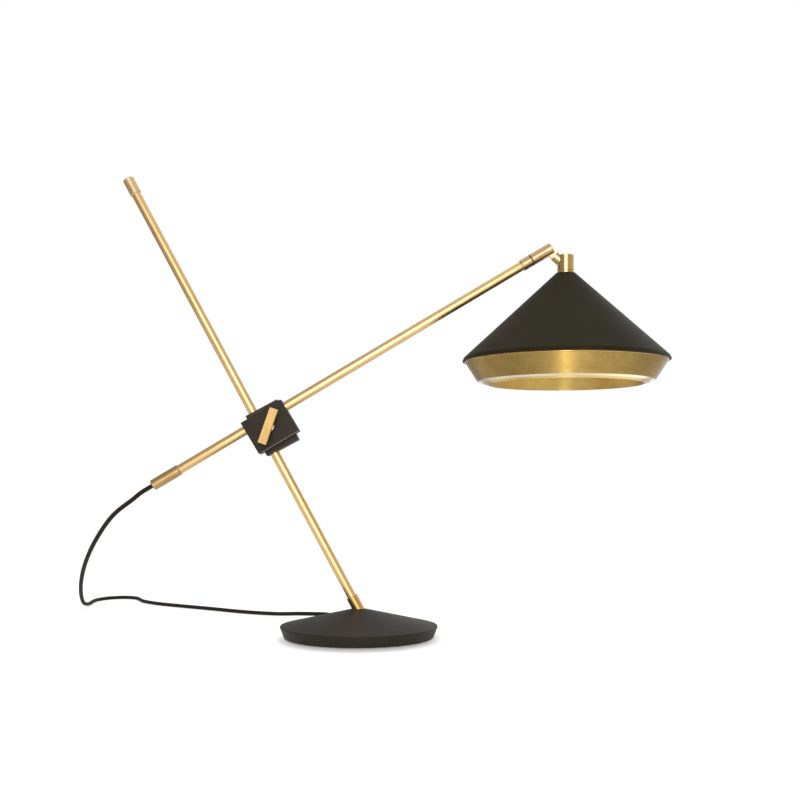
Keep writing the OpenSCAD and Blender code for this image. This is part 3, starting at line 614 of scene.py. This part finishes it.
def coil_point(turn):
    """The coil's centre line. It drops in its first half turn and winds outwards."""
    angle = radians(COIL_START + 360 * turn)
    radius = COIL_R + COIL_PITCH * turn
    k = min(1.0, 2 * turn)
    drop = COIL_CLIMB * (1 - k * k * (3 - 2 * k))
    return Vector((COIL_X + radius * cos(angle), COIL_Y + radius * sin(angle), CORD_Z + drop))


def coil_way(turn):
    """The heading along the coil."""
    angle = radians(COIL_START + 360 * turn)
    return Vector((-sin(angle), cos(angle), 0.0))


coil_in = coil_point(0) - CORD_D * coil_way(0)
coil_out = coil_point(COIL_TURNS) + CORD_D * coil_way(COIL_TURNS)
run_points = [
    TUBE_MOUTH, TUBE_MOUTH - STRAIGHT * ARM_WAY,
    TUBE_MOUTH - 2 * STRAIGHT * ARM_WAY + Vector((0, 2, -2)),
    (-290, -12, 145), (-317, 18, 117), (-342, 62, 88), (-364, 116, 60), (-382, 174, 35),
    (-395, 228, 16), (-404, 275, 7), (-410, 316, CORD_Z), (-413, 345, CORD_Z),
    (-410, 369, CORD_Z), (-398, 388, CORD_Z), (-378, 395, CORD_Z), (-359, 386, CORD_Z),
    (-348, 366, CORD_Z), (-336, 342, CORD_Z), (-308, 312, CORD_Z), (-268, 283, CORD_Z),
    (-220, 251, CORD_Z), (-170, 216, CORD_Z), (-122, 186, CORD_Z + 1), (-85, 161, CORD_Z + 4.2),
    coil_in - 2 * STRAIGHT * coil_way(0), coil_in - STRAIGHT * coil_way(0), coil_in]
PLUG_AT = Vector((24.0, 100.8, 5.1))
PLUG_TURN = radians(-8.0)
PLUG_WAY = Vector((cos(PLUG_TURN), sin(PLUG_TURN), 0.0))
lead_points = [
    coil_out, coil_out + CORD_D * coil_way(COIL_TURNS), (7, 100.2, CORD_Z + 0.2),
    (13, 101.3, CORD_Z + 1), PLUG_AT - CORD_D * PLUG_WAY, PLUG_AT]
coil_line = [coil_point(k / COIL_RINGS) for k in range(round(COIL_RINGS * COIL_TURNS) + 1)]
centre_line = curve(run_points, steps=16) + coil_line + curve(lead_points, steps=6)
centre_line = [point * MM for point in centre_line]

CORD_SIDES = 20


def tube_mesh(name, line, radius, sides):
    """A round tube along a line, with its own unwrapped length and girth in metres."""
    aside = Vector((0.0, 0.0, 1.0)).cross(line[1] - line[0]).normalized()
    corners = []
    lengths = [0.0]
    for i, point in enumerate(line):
        way = (line[min(i + 1, len(line) - 1)] - line[max(i - 1, 0)]).normalized()
        aside = (aside - aside.dot(way) * way).normalized()
        above = way.cross(aside)
        for k in range(sides):
            angle = tau * k / sides
            corners.append(point + radius * (cos(angle) * aside + sin(angle) * above))
        if i:
            lengths.append(lengths[-1] + (point - line[i - 1]).length)
    faces = []
    wraps = []
    girth = tau * radius
    for i in range(len(line) - 1):
        for k in range(sides):
            a = i * sides + k
            b = i * sides + (k + 1) % sides
            faces.append((a, b, b + sides, a + sides))
            low = girth * k / sides
            high = girth * (k + 1) / sides
            here, on = lengths[i], lengths[i + 1]
            wraps += [(low, here), (high, here), (high, on), (low, on)]
    mesh = bpy.data.meshes.new(name)
    mesh.from_pydata(corners, [], faces)
    unwrapped = mesh.uv_layers.new(name="along_the_cord")
    for loop, wrap in zip(unwrapped.data, wraps):
        loop.uv = wrap
    mesh.polygons.foreach_set("use_smooth", [True] * len(faces))
    made = bpy.data.objects.new(name, mesh)
    bpy.context.scene.collection.objects.link(made)
    return made


def wave(tree, value, per_metre):
    """Rounded ridges, from 0 to 1, this many to the metre."""
    wires = {0: value, 1: pi * per_metre}
    angle = add(tree, "ShaderNodeMath", wires, operation="MULTIPLY").outputs[0]
    swing = add(tree, "ShaderNodeMath", {0: angle}, operation="SINE").outputs[0]
    return add(tree, "ShaderNodeMath", {0: swing}, operation="ABSOLUTE").outputs[0]


BRAID_DARK = (0.0110, 0.0078, 0.0064)
BRAID_LIGHT = (0.0330, 0.0235, 0.0195)
BRAID_SHINE = (1.0, 0.78, 0.68, 1.0)
BRAID_STRANDS = 12
braid, tree, shader, place = start_finish("braided_cover")
wrapped = add(tree, "ShaderNodeUVMap", uv_map="along_the_cord").outputs[0]
split = add(tree, "ShaderNodeSeparateXYZ", {0: wrapped})
braid_pitch = pi * CORD_D * MM / BRAID_STRANDS
wires = {0: split.outputs[0], 1: split.outputs[1]}
left = add(tree, "ShaderNodeMath", wires, operation="ADD").outputs[0]
right = add(tree, "ShaderNodeMath", wires, operation="SUBTRACT").outputs[0]
wires = {0: wave(tree, left, 1 / braid_pitch), 1: wave(tree, right, 1 / braid_pitch)}
knit = add(tree, "ShaderNodeMath", wires, operation="MULTIPLY").outputs[0]
tree.links.new(tint(tree, knit, BRAID_DARK, BRAID_LIGHT), shader.inputs["Base Color"])
shader.inputs["Roughness"].default_value = 0.7
shader.inputs["Sheen Weight"].default_value = 0.03
shader.inputs["Sheen Roughness"].default_value = 0.5
shader.inputs["Specular IOR Level"].default_value = 0.22
shader.inputs["Specular Tint"].default_value = BRAID_SHINE
raise_grain(tree, shader, knit, depth=0.0002)

mains_cord = tube_mesh("mains_cord", centre_line, CORD_D / 2 * MM, CORD_SIDES)
mains_cord.data.materials.append(braid)
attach(mains_cord, "arm")
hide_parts("cord_run", "cord_coil", "cord_lead")

strap, tree, shader, place = start_finish("tie_strap")
loops = clouds(tree, place, per_metre=2600.0, detail=6.0)
tree.links.new(tint(tree, loops, RUBBER_DARK, BRAID_LIGHT), shader.inputs["Base Color"])
shader.inputs["Roughness"].default_value = 0.9
raise_grain(tree, shader, loops, depth=0.0002)
dress(strap, "cord_tie")

plug_rubber = sprayed_black("plug_rubber", RUBBER_DARK, RUBBER_LIGHT, roughness=0.5,
                            grain_per_metre=2400.0, grain_depth=0.00003)
dress(plug_rubber, "plug_body")
blade_nickel = brushed_metal("blade_nickel", STEEL_DULL, STEEL_CLEAN, PLUG_WAY, PLUG_AT * MM,
                             turned=False, roughness=0.25, stretch=0.3)
dress(blade_nickel, "plug_blades")


# ---- Room -----------------------------------------------------------------------------------
# The lamp stands on a plain white table in front of a white sweep. A large softbox shines from
# above the camera, a narrow one makes the bright line down the metal, and one hangs overhead.

TABLE_LEFT = -1.6
TABLE_FRONT = -1.6
TABLE_RIGHT = 0.73
TABLE_BACK = 0.85
floor_mesh = bpy.data.meshes.new("table_top")
floor_corners = [(TABLE_LEFT, TABLE_FRONT, 0), (TABLE_RIGHT, TABLE_FRONT, 0),
                 (TABLE_RIGHT, TABLE_BACK, 0), (TABLE_LEFT, TABLE_BACK, 0)]
floor_mesh.from_pydata(floor_corners, [], [(0, 1, 2, 3)])
floor = bpy.data.objects.new("table_top", floor_mesh)
bpy.context.scene.collection.objects.link(floor)


def seen_directly(tree):
    """1 for rays from the camera and for what metal and glass show, otherwise 0."""
    path = add(tree, "ShaderNodeLightPath")
    wires = {0: path.outputs["Is Camera Ray"], 1: path.outputs["Is Glossy Ray"]}
    seen = add(tree, "ShaderNodeMath", wires, operation="MAXIMUM").outputs[0]
    wires = {0: seen, 1: path.outputs["Is Transmission Ray"]}
    return path, add(tree, "ShaderNodeMath", wires, operation="MAXIMUM").outputs[0]


TABLE_WHITE = (0.74, 0.74, 0.74, 1.0)
TABLE_GLOW = 0.66
# Round a point just in front of the base, the table's glow drops to a lower level: a painted
# contact shadow, fixed in place.
PAINTED_SHADOW_GLOW = 0.12
SHADOW_MIDDLE = Vector((0.0, -0.030, 0.0))
SHADOW_DARK = 0.070
SHADOW_END = 0.106
METAL_GLOW = 0.38
METAL_GLOW_RIGHT = 1.00
GLOW_TURNS = 0.34
GLOW_FULL = 0.56
table_white = bpy.data.materials.new("table_white")
table_white.use_nodes = True
tree = table_white.node_tree
tree.nodes.clear()
path, seen = seen_directly(tree)
spot = add(tree, "ShaderNodeTexCoord").outputs["Object"]
across = add(tree, "ShaderNodeSeparateXYZ", {0: spot}).outputs["X"]
wires = {0: spot, 1: tuple(SHADOW_MIDDLE)}
out = add(tree, "ShaderNodeVectorMath", wires, operation="DISTANCE").outputs["Value"]
wires = {"Value": out, "From Min": SHADOW_DARK, "From Max": SHADOW_END,
         "To Min": PAINTED_SHADOW_GLOW, "To Max": TABLE_GLOW}
glow_with_painted_shadow = add(tree, "ShaderNodeMapRange", wires,
                 interpolation_type="SMOOTHSTEP").outputs["Result"]
wires = {"Value": across, "From Min": GLOW_TURNS, "From Max": GLOW_FULL,
         "To Min": METAL_GLOW, "To Max": METAL_GLOW_RIGHT}
metal_glow = add(tree, "ShaderNodeMapRange", wires).outputs["Result"]
wires = {"Value": path.outputs["Is Camera Ray"], "To Min": metal_glow, "To Max": glow_with_painted_shadow}
glow = add(tree, "ShaderNodeMapRange", wires).outputs["Result"]
glow = add(tree, "ShaderNodeMath", {0: seen, 1: glow}, operation="MULTIPLY").outputs[0]
matt = add(tree, "ShaderNodeBsdfDiffuse", {"Color": TABLE_WHITE}).outputs[0]
light = add(tree, "ShaderNodeEmission", {"Strength": glow}).outputs[0]
both = add(tree, "ShaderNodeAddShader", {0: matt, 1: light}).outputs[0]
add(tree, "ShaderNodeOutputMaterial", {"Surface": both})
floor_mesh.materials.append(table_white)

ROOM_GREY = 0.45
METAL_GREY_LEFT = 0.40
METAL_GREY_RIGHT = 0.64
GREY_REACH = 0.9
SWEEP_TURN = radians(38.0)
SWEEP_WAY = Vector((sin(SWEEP_TURN), cos(SWEEP_TURN), 0.0))
SWEEP_WHOLE = cos(radians(26.0))
SWEEP_EDGE = cos(radians(50.0))
UNDER_TABLE = 0.24
TABLE_RIM = -0.14
RIM_FADE = 0.06
world = bpy.data.worlds.new("white_sweep")
bpy.context.scene.world = world
world.use_nodes = True
tree = world.node_tree
tree.nodes.clear()
way = add(tree, "ShaderNodeTexCoord").outputs["Generated"]
wires = {0: way, 1: tuple(SWEEP_WAY)}
facing = add(tree, "ShaderNodeVectorMath", wires, operation="DOT_PRODUCT").outputs["Value"]
split = add(tree, "ShaderNodeSeparateXYZ", {0: way})
wires = {"Value": split.outputs["X"], "From Min": -GREY_REACH, "From Max": GREY_REACH,
         "To Min": METAL_GREY_LEFT, "To Max": METAL_GREY_RIGHT}
metal_grey = add(tree, "ShaderNodeMapRange", wires).outputs["Result"]
wires = {"Value": facing, "From Min": SWEEP_EDGE, "From Max": SWEEP_WHOLE,
         "To Min": metal_grey, "To Max": 1.0}
sweep = add(tree, "ShaderNodeMapRange", wires, interpolation_type="SMOOTHSTEP").outputs["Result"]
wires = {"Value": split.outputs["Z"], "From Min": TABLE_RIM - RIM_FADE, "From Max": TABLE_RIM,
         "To Min": UNDER_TABLE, "To Max": sweep}
sweep = add(tree, "ShaderNodeMapRange", wires).outputs["Result"]
path, seen = seen_directly(tree)
wires = {"Value": seen, "To Min": ROOM_GREY, "To Max": sweep}
level = add(tree, "ShaderNodeMapRange", wires).outputs["Result"]
wires = {"Value": path.outputs["Is Camera Ray"], "To Min": level, "To Max": 1.0}
level = add(tree, "ShaderNodeMapRange", wires).outputs["Result"]
wires = {"Color": (1.0, 1.0, 1.0, 1.0), "Strength": level}
sky = add(tree, "ShaderNodeBackground", wires).outputs[0]
add(tree, "ShaderNodeOutputWorld", {"Surface": sky})


def softbox(name, where, target, wide, high, brightness):
    """A flat lamp behind cloth. brightness is what a mirror shows of it, where 1 is white."""
    lamp = bpy.data.lights.new(name, "AREA")
    lamp.shape = "RECTANGLE"
    lamp.size = wide
    lamp.size_y = high
    lamp.energy = brightness * pi * wide * high
    stand = bpy.data.objects.new(name, lamp)
    stand.location = where
    stand.rotation_euler = (Vector(target) - Vector(where)).to_track_quat("-Z", "Y").to_euler()
    bpy.context.scene.collection.objects.link(stand)


LAMP_MIDDLE = (0.0, 0.0, 0.25)
softbox("key_softbox", (0.10, -2.15, 0.86), LAMP_MIDDLE, wide=1.8, high=1.4, brightness=1.6)
softbox("strip_softbox", (0.02, -1.6, 0.44), SHADE_POINT, wide=0.38, high=0.80, brightness=8.0)
softbox("top_softbox", (0.1, 0.1, 1.7), LAMP_MIDDLE, wide=1.6, high=1.6, brightness=0.5)

camera_data = bpy.data.cameras.new("camera")
camera_data.sensor_width = 36.0
camera_data.lens = 49.05
camera_data.shift_y = 0.095
camera = bpy.data.objects.new("camera", camera_data)
camera.location = (0.0489, -1.298, 0.1917)
camera.rotation_euler = (radians(90.0), 0.0, 0.0)
bpy.context.scene.collection.objects.link(camera)
bpy.context.scene.camera = camera
bpy.context.scene.view_settings.view_transform = "Standard"
